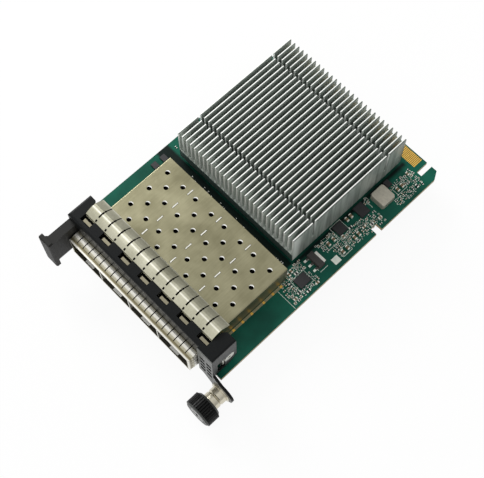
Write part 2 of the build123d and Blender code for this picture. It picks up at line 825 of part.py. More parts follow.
with BuildPart() as side_screws:
    for outer_x, inward in ((bracket_right_x, -1), (bracket_left_x, 1)):
        recessed_screw(
            outer_x, block_centre_y, side_screw_z, inward,
            side_screw_head_radius, side_screw_radius, side_screw_reach - 0.2,
        )
        with BuildSketch(Plane(origin=(outer_x, block_centre_y, side_screw_z), z_dir=(inward, 0, 0))):
            RegularPolygon(recess_radius, 6)
        extrude(amount=recess_depth, mode=Mode.SUBTRACT)
finish(side_screws, "side_screws")

with BuildPart() as board_screws:
    for x in (left_block_x, right_block_x):
        with BuildSketch(Plane(origin=(x, block_centre_y, -board_thickness), z_dir=(0, 0, -1))):
            RegularPolygon(board_screw_head_radius, small_round_sides)
        extrude(amount=board_screw_head_height)
        with BuildSketch(Plane.XY.offset(-board_thickness)):
            with Locations((x, block_centre_y)):
                RegularPolygon(board_screw_radius, small_round_sides)
        extrude(amount=board_thickness + board_screw_reach)
        with BuildSketch(Plane.XY.offset(-board_thickness - board_screw_head_height)):
            with Locations((x, block_centre_y)):
                RegularPolygon(recess_radius, 6)
        extrude(amount=recess_depth, mode=Mode.SUBTRACT)
finish(board_screws, "board_screws")


# Pull tab: a flat arm, a wide end plate and a tongue that enters the bracket
with BuildPart() as pull_tab:
    add_box((arm_outer_x, pull_front_y + pull_plate_thickness, pull_arm_bottom_z), (arm_inner_x, face_y, pull_arm_top_z))
    with BuildSketch(forward_plane(0, pull_front_y + pull_plate_thickness, 0)):
        with Locations((
            (arm_outer_x - pull_plate_overhang + arm_inner_x + pull_plate_inner_overhang) / 2,
            (pull_plate_top_z + pull_plate_bottom_z) / 2,
        )):
            Rectangle(
                pull_arm_width + pull_plate_overhang + pull_plate_inner_overhang,
                pull_plate_top_z - pull_plate_bottom_z,
            )
    extrude(amount=pull_plate_thickness)
    plate_corners = pull_tab.edges().filter_by(Axis.Y).filter_by(lambda e: abs(e.length - pull_plate_thickness) < 0.01)
    chamfer(plate_corners, pull_corner)
    root_edges = [
        e for e in pull_tab.edges().filter_by(Axis.Z)
        if abs(e.center().X - arm_outer_x) < 0.01 and abs(e.center().Y - pull_front_y - pull_plate_thickness) < 0.01
    ]
    chamfer(root_edges, pull_root_chamfer)
    front_face = pull_tab.faces().sort_by(Axis.Y)[0]
    chamfer(front_face.edges(), pull_edge)
    add_box(
        (tongue_outer_x, face_y, pull_tongue_bottom_z),
        (tongue_inner_x, face_inner_y + pull_tongue_length, pull_tongue_top_z),
    )
    for screw_z in pull_screw_places:
        with BuildSketch(Plane(origin=(tongue_outer_x, pull_screw_y, screw_z), z_dir=(1, 0, 0))):
            round_hole(pull_screw_radius + thread_clearance)
        extrude(amount=pull_tongue_thickness, mode=Mode.SUBTRACT)
finish(pull_tab, "pull_tab")

with BuildPart() as pull_tab_screws:
    for screw_z in pull_screw_places:
        recessed_screw(
            bracket_left_x, pull_screw_y, screw_z, 1,
            pull_screw_head_radius, pull_screw_radius, pull_screw_reach,
        )
finish(pull_tab_screws, "pull_tab_screws")


# Thumbscrew, along Y at the lower right: ferrule in the ear, spring, knob and screw
ear_front_y = vent_plate_y
ear_rear_y = vent_plate_y + sheet
ferrule_front_y = ear_front_y - ferrule_length
knob_rear_y = ferrule_front_y + knob_overlap
knob_front_y = knob_rear_y - knob_length
knob_web_y = knob_rear_y - knob_skirt_depth


def turned(points):
    """Revolve an outline of radius and place along Y about the axis of the thumbscrew."""
    with BuildSketch(Plane(origin=(screw_axis_x, 0, screw_axis_z), x_dir=(1, 0, 0), z_dir=(0, 0, 1))) as outline:
        with BuildLine():
            Polyline(*points, close=True)
        make_face()
    revolve(outline.sketch, axis=Axis((screw_axis_x, 0, screw_axis_z), (0, 1, 0)))


groove_front = ear_front_y - ferrule_groove_back - ferrule_groove_width
pocket_floor_y = ear_rear_y - ferrule_rear_wall
pocket_front_y = ferrule_front_y + ferrule_lip
ferrule_bore_radius = screw_radius + running_clearance
with BuildPart() as thumbscrew_ferrule:
    turned([
        (ferrule_bore_radius, ear_rear_y),
        (ferrule_stem_radius, ear_rear_y),
        (ferrule_stem_radius, ear_front_y),
        (ferrule_flange_radius, ear_front_y),
        (ferrule_flange_radius, ear_front_y - ferrule_flange_thickness),
        (ferrule_radius, ear_front_y - ferrule_flange_thickness),
        (ferrule_radius, groove_front + ferrule_groove_width),
        (ferrule_radius - ferrule_groove_depth, groove_front + ferrule_groove_width / 2),
        (ferrule_radius, groove_front),
        (ferrule_radius, ferrule_front_y),
        (ferrule_bore_radius, ferrule_front_y),
    ])
    with BuildSketch(forward_plane(screw_axis_x, pocket_floor_y, screw_axis_z)):
        RegularPolygon(ferrule_pocket_radius, small_round_sides)
    extrude(amount=pocket_floor_y - pocket_front_y, mode=Mode.SUBTRACT)
finish(thumbscrew_ferrule, "thumbscrew_ferrule")


# The knurl is a ring of flat ridges with a shallow flute between each pair
knurl_outline = []
for i in range(knob_flute_count):
    for part_turn, flute in ((0.0, 0.0), (0.6, 0.0), (0.8, knob_flute_depth)):
        angle = 2 * math.pi * (i + part_turn) / knob_flute_count
        knurl_outline.append(((knob_radius - flute) * math.cos(angle), (knob_radius - flute) * math.sin(angle)))

with BuildPart() as thumbscrew_knob:
    with BuildSketch(forward_plane(screw_axis_x, knob_rear_y - knob_rear_edge, screw_axis_z)):
        with BuildLine():
            Polyline(*knurl_outline, close=True)
        make_face()
    extrude(amount=knob_length - knob_rear_edge - knob_edge)
    root_radius = knob_radius - knob_flute_depth
    turned([
        (0, knob_rear_y - knob_rear_edge),
        (root_radius, knob_rear_y - knob_rear_edge),
        (root_radius - knob_rear_edge, knob_rear_y),
        (0, knob_rear_y),
    ])
    turned([
        (0, knob_front_y + knob_edge),
        (root_radius, knob_front_y + knob_edge),
        (root_radius - knob_edge, knob_front_y),
        (0, knob_front_y),
    ])
    for start_y, radius, depth in (
        (knob_rear_y, knob_bore_radius, knob_skirt_depth),
        (knob_web_y, screw_radius, knob_length - knob_skirt_depth),
        (knob_front_y + screw_head_depth, screw_head_radius, screw_head_depth),
    ):
        with BuildSketch(forward_plane(screw_axis_x, start_y, screw_axis_z)):
            Circle(radius)
        extrude(amount=depth, mode=Mode.SUBTRACT)
finish(thumbscrew_knob, "thumbscrew_knob")

screw_tip_y = ear_rear_y + screw_tip_proud
collar_front_y = pocket_front_y + screw_collar_gap
collar_rear_y = collar_front_y + screw_collar_length
with BuildPart() as thumbscrew_screw:
    turned([
        (0, knob_front_y),
        (screw_head_radius, knob_front_y),
        (screw_head_radius, knob_front_y + screw_head_depth),
        (screw_radius, knob_front_y + screw_head_depth),
        (screw_radius, screw_tip_y),
        (0, screw_tip_y),
    ])
    with BuildSketch(forward_plane(screw_axis_x, collar_rear_y, screw_axis_z)):
        RegularPolygon(screw_collar_radius, small_round_sides)
    extrude(amount=screw_collar_length)
    with BuildSketch(forward_plane(screw_axis_x, knob_front_y + cross_recess_depth, screw_axis_z)):
        Rectangle(cross_recess_length, cross_recess_width)
        Rectangle(cross_recess_width, cross_recess_length)
    extrude(amount=cross_recess_depth, mode=Mode.SUBTRACT)
finish(thumbscrew_screw, "thumbscrew_screw")

spring_space = pocket_floor_y - collar_rear_y - press_travel - spring_end_gap
spring_points = []
for i in range(spring_turns * spring_steps + 1):
    angle = 2 * math.pi * i / spring_steps
    spring_points.append((
        screw_axis_x + spring_coil_radius * math.cos(angle),
        collar_rear_y + spring_wire_radius + (spring_space - 2 * spring_wire_radius) * i / (spring_turns * spring_steps),
        screw_axis_z + spring_coil_radius * math.sin(angle),
    ))
with BuildPart() as thumbscrew_spring:
    with BuildLine():
        coil = Polyline(*spring_points)
    with BuildSketch(Plane(origin=coil @ 0, z_dir=coil % 0)):
        RegularPolygon(spring_wire_radius, 4)
    sweep(transition=Transition.RIGHT)
finish(thumbscrew_spring, "thumbscrew_spring")


# Heatsink: one extruded block with long fins and two cross cuts
fin_pitch = (heatsink_right_x - heatsink_left_x - fin_thickness) / (fin_count - 1)
groove_width = fin_pitch - fin_thickness
with BuildPart() as heatsink:
    with BuildSketch(forward_plane(0, heatsink_rear_y, 0)):
        with Locations((heatsink_centre_x, (heatsink_bottom_z + heatsink_top_z) / 2)):
            Rectangle(heatsink_right_x - heatsink_left_x, heatsink_top_z - heatsink_bottom_z)
        groove_centres = [heatsink_left_x + fin_thickness + (i + 0.5) * fin_pitch - fin_thickness / 2
                          for i in range(fin_count - 1)]
        with Locations(*[(x, (heatsink_base_top_z + heatsink_top_z) / 2) for x in groove_centres]):
            Rectangle(groove_width, heatsink_top_z - heatsink_base_top_z, mode=Mode.SUBTRACT)
    extrude(amount=heatsink_rear_y - heatsink_front_y)
    for cut_y in cross_cut_y:
        add_box(
            (heatsink_left_x, cut_y - cross_cut_width / 2, cross_cut_floor_z),
            (heatsink_right_x, cut_y + cross_cut_width / 2, heatsink_top_z),
            Mode.SUBTRACT,
        )
    with BuildSketch(Plane.XY.offset(heatsink_bottom_z)):
        with Locations(*standoff_places):
            round_hole(heatsink_screw_radius + thread_clearance)
    extrude(amount=heatsink_screw_depth + 0.3, mode=Mode.SUBTRACT)
finish(heatsink, "heatsink")

with BuildPart() as heatsink_standoffs:
    with BuildSketch(Plane.XY):
        with Locations(*standoff_places):
            RegularPolygon(standoff_radius, 6)
            RegularPolygon(
                heatsink_screw_radius + shank_clearance, small_round_sides, major_radius=False, mode=Mode.SUBTRACT
            )
    extrude(amount=heatsink_bottom_z)
finish(heatsink_standoffs, "heatsink_standoffs")

with BuildPart() as heatsink_screws:
    head_z = -board_thickness - heatsink_screw_head_height
    with BuildSketch(Plane.XY.offset(head_z)):
        with Locations(*standoff_places):
            RegularPolygon(heatsink_screw_head_radius, small_round_sides)
    extrude(amount=heatsink_screw_head_height)
    with BuildSketch(Plane.XY.offset(-board_thickness)):
        with Locations(*standoff_places):
            RegularPolygon(heatsink_screw_radius, small_round_sides)
    extrude(amount=board_thickness + heatsink_bottom_z + heatsink_screw_depth)
    with BuildSketch(Plane.XY.offset(head_z)):
        with Locations(*standoff_places):
            RegularPolygon(recess_radius, 6)
    extrude(amount=recess_depth, mode=Mode.SUBTRACT)
finish(heatsink_screws, "heatsink_screws")


# Network controller under the heatsink, and its pad
with BuildPart() as network_controller:
    with BuildSketch(Plane.XY):
        with Locations((heatsink_centre_x, heatsink_centre_y)):
            Rectangle(chip_side, chip_side)
    extrude(amount=chip_substrate_height)
    with BuildSketch(Plane.XY.offset(chip_substrate_height)):
        with Locations((heatsink_centre_x, heatsink_centre_y)):
            Rectangle(chip_lid_side, chip_lid_side)
    extrude(amount=chip_lid_height)
finish(network_controller, "network_controller")

with BuildPart() as thermal_pad:
    with BuildSketch(Plane.XY.offset(chip_height)):
        with Locations((heatsink_centre_x, heatsink_centre_y)):
            Rectangle(chip_lid_side, chip_lid_side)
    extrude(amount=heatsink_bottom_z - chip_height)
finish(thermal_pad, "thermal_pad")


def component_body(at, size, edge, face=0.0, side=1, corner=0.0):
    """A moulded package on one face of the board, placed from the right edge of the board."""
    x = board_half - at[0]
    y = at[1]
    width, length, height = size
    plane = Plane(origin=(x, y, face), x_dir=(1, 0, 0), z_dir=(0, 0, side))
    with BuildSketch(plane) as lower:
        Rectangle(width, length)
        if corner:
            chamfer(lower.vertices(), corner)
    extrude(lower.sketch, amount=height - edge)
    with BuildSketch(plane.offset(height - edge)) as upper:
        Rectangle(width, length)
        if corner:
            chamfer(upper.vertices(), corner)
    extrude(upper.sketch, amount=edge, taper=20)


# Packages on the component face
with BuildPart() as inductor:
    component_body(inductor_at, inductor_size, 0.4, corner=inductor_corner)
finish(inductor, "inductor")

with BuildPart() as power_stage_rear:
    component_body(rear_stage_at, rear_stage_size, 0.1)
finish(power_stage_rear, "power_stage_rear")

with BuildPart() as power_stage_middle:
    component_body(middle_stage_at, middle_stage_size, 0.1)
finish(power_stage_middle, "power_stage_middle")

with BuildPart() as management_chip:
    component_body(square_chip_at, square_chip_size, 0.1)
finish(management_chip, "management_chip")

with BuildPart() as small_chips:
    for place in small_chip_places:
        component_body(place, small_chip_size, 0.1)
finish(small_chips, "small_chips")

with BuildPart() as linear_regulator:
    body_width, body_length, body_height = regulator_body
    component_body(regulator_at, regulator_body, 0.4)
    tab_y = regulator_at[1] + body_length / 2
    regulator_x = board_half - regulator_at[0]
    add_box(
        (regulator_x - regulator_tab_width / 2, tab_y, 0),
        (regulator_x + regulator_tab_width / 2, tab_y + regulator_tab_length, regulator_lead_thickness),
    )
    for i in (-1, 0, 1):
        lead_x = regulator_x + i * regulator_lead_pitch
        lead_y = regulator_at[1] - body_length / 2
        add_box(
            (lead_x - regulator_lead_width / 2, lead_y - regulator_lead_length, 0),
            (lead_x + regulator_lead_width / 2, lead_y, regulator_lead_thickness),
        )
        add_box(
            (lead_x - regulator_lead_width / 2, lead_y - regulator_lead_length / 2, 0),
            (lead_x + regulator_lead_width / 2, lead_y, body_height / 2),
        )
finish(linear_regulator, "linear_regulator")

with BuildPart() as capacitors:
    for inset, y in capacitor_places:
        x = board_half - inset
        width, length, height = capacitor_size
        add_box((x - width / 2, y - length / 2, 0), (x + width / 2, y + length / 2, height))
finish(capacitors, "capacitors")


# Plain parts on the underside
with BuildPart() as underside_chips:
    for place in underside_chip_places:
        component_body(place, underside_chip_size, 0.1, face=-board_thickness, side=-1)
finish(underside_chips, "underside_chips")

with BuildPart() as underside_capacitors:
    for inset, y in underside_capacitor_places:
        x = board_half - inset
        width, length, height = capacitor_size
        add_box(
            (x - width / 2, y - length / 2, -board_thickness - height),
            (x + width / 2, y + length / 2, -board_thickness),
        )
finish(underside_capacitors, "underside_capacitors")
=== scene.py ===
import bpy
import bmesh
import math
import random
from mathutils import Euler, Matrix, Vector


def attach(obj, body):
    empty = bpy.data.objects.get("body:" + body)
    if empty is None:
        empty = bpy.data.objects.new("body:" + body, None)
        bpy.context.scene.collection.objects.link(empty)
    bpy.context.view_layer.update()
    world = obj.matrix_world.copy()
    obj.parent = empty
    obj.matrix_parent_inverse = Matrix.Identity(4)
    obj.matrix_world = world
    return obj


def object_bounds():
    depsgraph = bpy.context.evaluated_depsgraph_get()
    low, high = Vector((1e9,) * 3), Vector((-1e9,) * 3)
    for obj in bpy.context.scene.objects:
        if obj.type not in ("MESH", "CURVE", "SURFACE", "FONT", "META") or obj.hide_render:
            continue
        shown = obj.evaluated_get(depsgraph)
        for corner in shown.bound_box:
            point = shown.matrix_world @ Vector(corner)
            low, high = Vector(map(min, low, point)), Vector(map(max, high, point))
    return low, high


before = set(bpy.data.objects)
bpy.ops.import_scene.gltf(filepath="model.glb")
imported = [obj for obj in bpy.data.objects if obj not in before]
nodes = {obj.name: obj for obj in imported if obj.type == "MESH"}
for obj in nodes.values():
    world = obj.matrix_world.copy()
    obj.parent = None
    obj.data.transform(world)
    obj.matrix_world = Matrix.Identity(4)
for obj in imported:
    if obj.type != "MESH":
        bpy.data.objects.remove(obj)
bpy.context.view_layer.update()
MM = 0.001


# Sizes of the object that the materials and small pieces follow, in millimetres

port_first = -22.025
port_pitch = 14.15
port_count = 4
port_width = 13.6
ports = [port_first + port_pitch * k for k in range(port_count)]
cage_top = 9.4

# Each port has three rows of vent holes: two beside its middle, and one on it that starts further in front
vent_radius = 0.95
vent_first = -88.6
vent_pitch = 8.5
vent_count = 3
vent_offset = 3.9
vents_beside = [vent_first + vent_pitch * k for k in range(vent_count)]
vents_middle = [y - vent_pitch / 2 for y in vents_beside]

tongue_width = 4.0
tongue_front = -112.1
tongue_rear = -110.1
tongue_top = 0.9

gasket_left = -30.15
gasket_pitch = 2.795
gasket_fingers = 21
gasket_profile = [(-111.2, 9.85), (-110.475, 10.305), (-109.315, 10.55), (-108.35, 10.48)]

strip_left = -29.8
strip_pitch = 4.677
strip_fingers = 13
# The strip follows a sine up to its crest and a cosine behind it, each given by the length of its half wave
strip_front = -103.525
strip_front_height = 18.95
strip_rise = 1.25
strip_front_half_wave = 6.6
strip_crest = -100.4
strip_crest_height = 20.2
strip_fall = 2.25
strip_rear_half_wave = 8.4
notch_first = -27.46
notch_pitch = 9.354
notch_count = 7

heatsink_base_top = 7.0
fin_left, fin_right = -30.6, 25.3
fin_thickness = 0.7
fin_gaps = 27
fin_pitch = (fin_right - fin_left - fin_thickness) / fin_gaps
fin_tops_from = 18.5

vent_plate_left = 29.0


def strip_height(y):
    """Height of the centre line of the gasket strip at a place behind its front edge."""
    if y < strip_crest:
        angle = (y - strip_front) / strip_front_half_wave * math.pi
        return strip_front_height + strip_rise * math.sin(angle)
    angle = (y - strip_crest) / strip_rear_half_wave * math.pi
    return strip_crest_height - strip_fall * (1 - math.cos(angle))


# Ways to make a material

noise_detail = 3.0
noise_low, noise_high = 0.3, 0.7
facing_limit = 0.6
# Numbers of the colour sockets of a Mix node
mix_first, mix_second, mix_result = 6, 7, 2


def srgb(r, g, b):
    """Linear colour of an 8-bit colour."""
    def linear(v):
        v /= 255
        return v / 12.92 if v <= 0.04045 else ((v + 0.055) / 1.055) ** 2.4
    return (linear(r), linear(g), linear(b), 1.0)


def shaded(color, factor):
    """A colour made darker or lighter by a factor."""
    return (*(min(1, c * factor) for c in color[:3]), 1.0)


class Mat:
    """A Principled material with a few short ways to wire procedural nodes."""

    def __init__(self, name, color=(0.5, 0.5, 0.5, 1), metallic=0.0, rough=0.5, specular=None):
        self.material = bpy.data.materials.new(name)
        self.material.use_nodes = True
        self.tree = self.material.node_tree
        self.shader = self.tree.nodes["Principled BSDF"]
        self.shader.inputs["Base Color"].default_value = color
        self.shader.inputs["Metallic"].default_value = metallic
        self.shader.inputs["Roughness"].default_value = rough
        if specular is not None:
            self.shader.inputs["Specular IOR Level"].default_value = specular
        self.coordinates = None

    def node(self, kind, **values):
        """A new node of a kind, with its own settings."""
        new = self.tree.nodes.new(kind)
        for name, value in values.items():
            setattr(new, name, value)
        return new

    def feed(self, socket, value):
        """Sets an input to a number or colour, or links it to an output of a node."""
        if isinstance(value, (int, float, tuple)):
            socket.default_value = value
        else:
            self.tree.links.new(value, socket)

    def object_place(self):
        """Place in the object's own frame, in metres."""
        if self.coordinates is None:
            self.coordinates = self.node("ShaderNodeTexCoord")
        return self.coordinates.outputs["Object"]

    def part_of(self, vector, axis):
        """The part of a vector along X, Y or Z."""
        split = self.node("ShaderNodeSeparateXYZ")
        self.feed(split.inputs["Vector"], vector)
        return split.outputs["XYZ".index(axis)]

    def axis(self, axis):
        """Place along an axis of the object, in metres."""
        return self.part_of(self.object_place(), axis)

    def noise(self, scale, stretch=(1, 1, 1)):
        """Cloudy values, finer with a larger scale. A small stretch draws them out along its axis."""
        mapping = self.node("ShaderNodeMapping")
        mapping.inputs["Scale"].default_value = stretch
        self.feed(mapping.inputs["Vector"], self.object_place())
        cloud = self.node("ShaderNodeTexNoise")
        cloud.inputs["Scale"].default_value = scale
        cloud.inputs["Detail"].default_value = noise_detail
        self.feed(cloud.inputs["Vector"], mapping.outputs["Vector"])
        return cloud.outputs["Fac"]

    def ramp(self, value, dark, light, margin=noise_low):
        """A colour that goes from dark to light over the middle of a value's range."""
        ramp = self.node("ShaderNodeValToRGB")
        self.feed(ramp.inputs["Fac"], value)
        first, last = ramp.color_ramp.elements
        first.position = margin
        first.color = dark
        last.position = 1 - margin
        last.color = light
        return ramp.outputs["Color"]

    def calc(self, operation, a, b=None):
        """Result of a Math node."""
        result = self.node("ShaderNodeMath", operation=operation)
        self.feed(result.inputs[0], a)
        if b is not None:
            self.feed(result.inputs[1], b)
        return result.outputs[0]

    def times(self, a, b):
        """Product of two values."""
        return self.calc("MULTIPLY", a, b)

    def above(self, value, limit):
        """1 where a value is greater than a limit, and 0 elsewhere."""
        return self.calc("GREATER_THAN", value, limit)

    def mix(self, factor, first, second):
        """The first colour where the factor is 0, and the second where it is 1."""
        mixed = self.node("ShaderNodeMix", data_type="RGBA")
        self.feed(mixed.inputs["Factor"], factor)
        self.feed(mixed.inputs[mix_first], first)
        self.feed(mixed.inputs[mix_second], second)
        return mixed.outputs[mix_result]

    def spread(self, value, start, end, low=0.0, high=1.0):
        """A value that goes from low to high while another goes from start to end."""
        spread = self.node("ShaderNodeMapRange")
        for name, v in (("From Min", start), ("From Max", end), ("To Min", low), ("To Max", high)):
            spread.inputs[name].default_value = v
        self.feed(spread.inputs["Value"], value)
        return spread.outputs["Result"]

    def facing(self, axis):
        """1 on faces that look along the axis, either way, and 0 on the others."""
        normal = self.node("ShaderNodeNewGeometry").outputs["Normal"]
        return self.above(self.calc("ABSOLUTE", self.part_of(normal, axis)), facing_limit)

    def band(self, axis, low, high, soft):
        """1 between two places along an axis and 0 beyond them, with soft ends, in millimetres."""
        place = self.axis(axis)
        rise = self.spread(place, (low - soft) * MM, (low + soft) * MM)
        fall = self.spread(place, (high - soft) * MM, (high + soft) * MM, 1.0, 0.0)
        return self.times(rise, fall)

    def color(self, value):
        """Gives the shader its colour."""
        self.feed(self.shader.inputs["Base Color"], value)

    def rough(self, value, low, high):
        """Gives the shader a roughness that follows a noise from low to high."""
        self.feed(self.shader.inputs["Roughness"], self.spread(value, noise_low, noise_high, low, high))

    def bump(self, value, distance, strength=1.0):
        """Gives the shader a relief, with its height in metres."""
        relief = self.node("ShaderNodeBump")
        relief.inputs["Distance"].default_value = distance
        relief.inputs["Strength"].default_value = strength
        self.feed(relief.inputs["Height"], value)
        self.feed(self.shader.inputs["Normal"], relief.outputs["Normal"])


# Materials

rough_spread = 0.06


def plain(name, color, metallic=0.0, rough=0.5, specular=None, vary=0.12, scale=600, bump=0.0):
    """A material whose colour and roughness vary a little."""
    m = Mat(name, color, metallic, rough, specular)
    cloud = m.noise(scale)
    m.color(m.ramp(cloud, shaded(color, 1 - vary), shaded(color, 1 + vary)))
    m.rough(cloud, rough - rough_spread, rough + rough_spread)
    if bump:
        m.bump(cloud, bump)
    return m.material


def board_material():
    """Green mask over a bare edge, with painted shade that makes it nearly black in the gap behind the cage
    and right of the heatsink.
    """
    # Places of the painted shade, in millimetres: the gap behind the cage, and a strip right of the
    # heatsink
    gap_across, gap_along = (-38.5, 25.6), (-66.8, -61.5)
    beside_across, beside_along = (25.2, 27.0), (-62, -6)
    shade_share = 0.94
    m = Mat("solder_mask", rough=0.34, specular=0.12)
    fine = m.noise(scale=1500)
    mask = m.ramp(m.noise(scale=90), srgb(10, 72, 59), srgb(16, 90, 73), margin=0.35)
    # Painted shade: the gap and beside masks darken the green mask towards nearly black srgb(5, 11, 10)
    gap = m.times(m.band("Y", *gap_along, soft=0.5), m.band("X", *gap_across, soft=0.6))
    beside = m.times(m.band("X", *beside_across, soft=0.7), m.band("Y", *beside_along, soft=0.6))
    shade = m.times(m.calc("MAXIMUM", gap, beside), shade_share)
    bare_edge = m.ramp(fine, srgb(120, 104, 66), srgb(178, 158, 112))
    m.color(m.mix(m.facing("Z"), bare_edge, m.mix(shade, mask, srgb(5, 11, 10))))
    m.rough(fine, low=0.3, high=0.42)
    return m.material


def sheet_material(name, dark, light, rough, bands=()):
    """Plated sheet, cloudy and faintly brushed, with bands across the card in given colours: painted
    highlights and brown bands.
    """
    grain_share = 0.3
    band_soft = 0.15
    m = Mat(name, metallic=0.92, rough=rough)
    cloud = m.noise(scale=110)
    grain = m.noise(scale=2200, stretch=(1, 0.08, 1))
    both = m.calc("ADD", m.times(cloud, 1 - grain_share), m.times(grain, grain_share))
    color = m.ramp(both, dark, light, margin=0.35)
    # Each band lays its colour over the sheet; the bright ones are painted highlights
    for start, end, own in bands:
        color = m.mix(m.band("Y", start, end, band_soft), color, own)
    m.color(color)
    m.rough(cloud, rough - 0.05, rough + 0.06)
    m.bump(grain, distance=0.000004, strength=0.4)
    return m.material


def heatsink_material():
    """Drawn aluminium with painted highlights on the fin fronts, fin ends and fin lines, and painted shade
    on the right face, the front of the base and the rest of the fin tops.
    """
    highlight_front, highlight_soft, highlight_share = (-62.6, -59.0), 1.6, 0.75
    right_face_from = fin_right - 0.05
    ends_from, ends_full = 8.0, 15.0
    base_soft = 0.1
    line_share = 0.17
    m = Mat("extruded_aluminium", metallic=0.35, rough=0.4, specular=0.4)
    drawn = m.noise(scale=1200, stretch=(1, 0.03, 0.3))
    streaks = m.noise(scale=900, stretch=(1, 1, 0.05))
    both = m.calc("ADD", m.times(drawn, 0.5), m.times(m.noise(scale=120), 0.5))
    color = m.ramp(both, srgb(150, 159, 152), srgb(174, 183, 176))

    # Painted shade: the right face darker, with streaks
    right_face_shade = m.times(m.facing("X"), m.above(m.axis("X"), right_face_from * MM))
    color = m.mix(right_face_shade, color, m.ramp(streaks, srgb(112, 120, 114), srgb(158, 166, 160), margin=0.35))
    # Painted highlight: the front part of the fins lighter
    fin_front_highlight = m.times(m.band("Y", *highlight_front, highlight_soft), highlight_share)
    color = m.mix(fin_front_highlight, color, srgb(232, 238, 232))

    # Painted highlight: faces towards the front lighter towards the top of the fins
    front = m.facing("Y")
    fin_end_highlight = m.spread(m.axis("Z"), ends_from * MM, ends_full * MM)
    color = m.mix(m.times(front, fin_end_highlight), color, srgb(240, 244, 240))
    # Painted shade: the front of the base darker, dark teal grey
    base_start, base_end = (heatsink_base_top - base_soft) * MM, (heatsink_base_top + base_soft) * MM
    base = m.spread(m.axis("Z"), base_start, base_end, low=1.0, high=0.0)
    color = m.mix(m.times(front, base), color, srgb(84, 102, 98))

    # Painted shade on the fin tops, with a painted highlight along a narrow line on each fin
    tops = m.times(m.facing("Z"), m.above(m.axis("Z"), fin_tops_from * MM))
    from_left = m.calc("SUBTRACT", m.axis("X"), fin_left * MM)
    share_of_pitch = m.calc("FRACT", m.calc("DIVIDE", from_left, fin_pitch * MM))
    fin_line_highlight = m.times(tops, m.calc("LESS_THAN", share_of_pitch, line_share))
    color = m.mix(tops, color, srgb(84, 91, 86))
    m.color(m.mix(fin_line_highlight, color, srgb(250, 252, 248)))
    m.rough(drawn, low=0.36, high=0.46)
    return m.material


def black_sheet_material():
    """Black paint, with a painted reflection that makes the vent plate greyer."""
    m = Mat("black_paint", rough=0.38, specular=0.14)
    fine = m.noise(scale=2500)
    black = m.ramp(fine, srgb(12, 14, 15), srgb(18, 20, 21))
    # Painted reflection: the front faces of the vent plate greyer
    vent_plate_reflection = m.times(m.facing("Y"), m.above(m.axis("X"), vent_plate_left * MM))
    m.color(m.mix(vent_plate_reflection, black, srgb(100, 102, 100)))
    m.rough(fine, low=0.3, high=0.42)
    return m.material


def knob_material():
    """Black moulding, with a painted reflection that makes the faces across the axis of the screw greyer.
    """
    m = Mat("knob_moulding", rough=0.4, specular=0.15)
    fine = m.noise(scale=1800)
    black = m.ramp(fine, srgb(8, 9, 9), srgb(12, 13, 13))
    # Painted reflection: the faces across the screw's axis greyer
    m.color(m.mix(m.facing("Y"), black, srgb(66, 68, 66)))
    m.rough(fine, low=0.34, high=0.46)
    return m.material


def gasket_material():
    """Spring sheet round the mouth of the cage, with a painted highlight on the lip, a brown band and a
    painted highlight on the crest.
    """
    bands = [
        # Painted highlight on the lip, a brown band, and a painted highlight on the crest and fingers
        (-112.6, -111.95, srgb(240, 238, 230)),
        (-111.75, -111.0, srgb(132, 124, 96)),
        (-110.2, -108.75, srgb(228, 226, 218)),
    ]
    return sheet_material("gasket_sheet", srgb(176, 171, 148), srgb(200, 196, 176), rough=0.36, bands=bands)


def strip_material():
    """Spring sheet of the gasket strip, with a brown front, a painted highlight on the crest and one on the
    rear edge.
    """
    bands = [
        # A brown front, then painted highlights on the crest and on the rear edge
        (-106.5, -104.75, srgb(136, 131, 112)),
        (strip_crest - 0.3, strip_crest + 0.25, srgb(238, 236, 222)),
        (-96.5, -96.0, srgb(226, 223, 206)),
    ]
    return sheet_material("spring_sheet", srgb(178, 176, 154), srgb(206, 204, 184), rough=0.38, bands=bands)


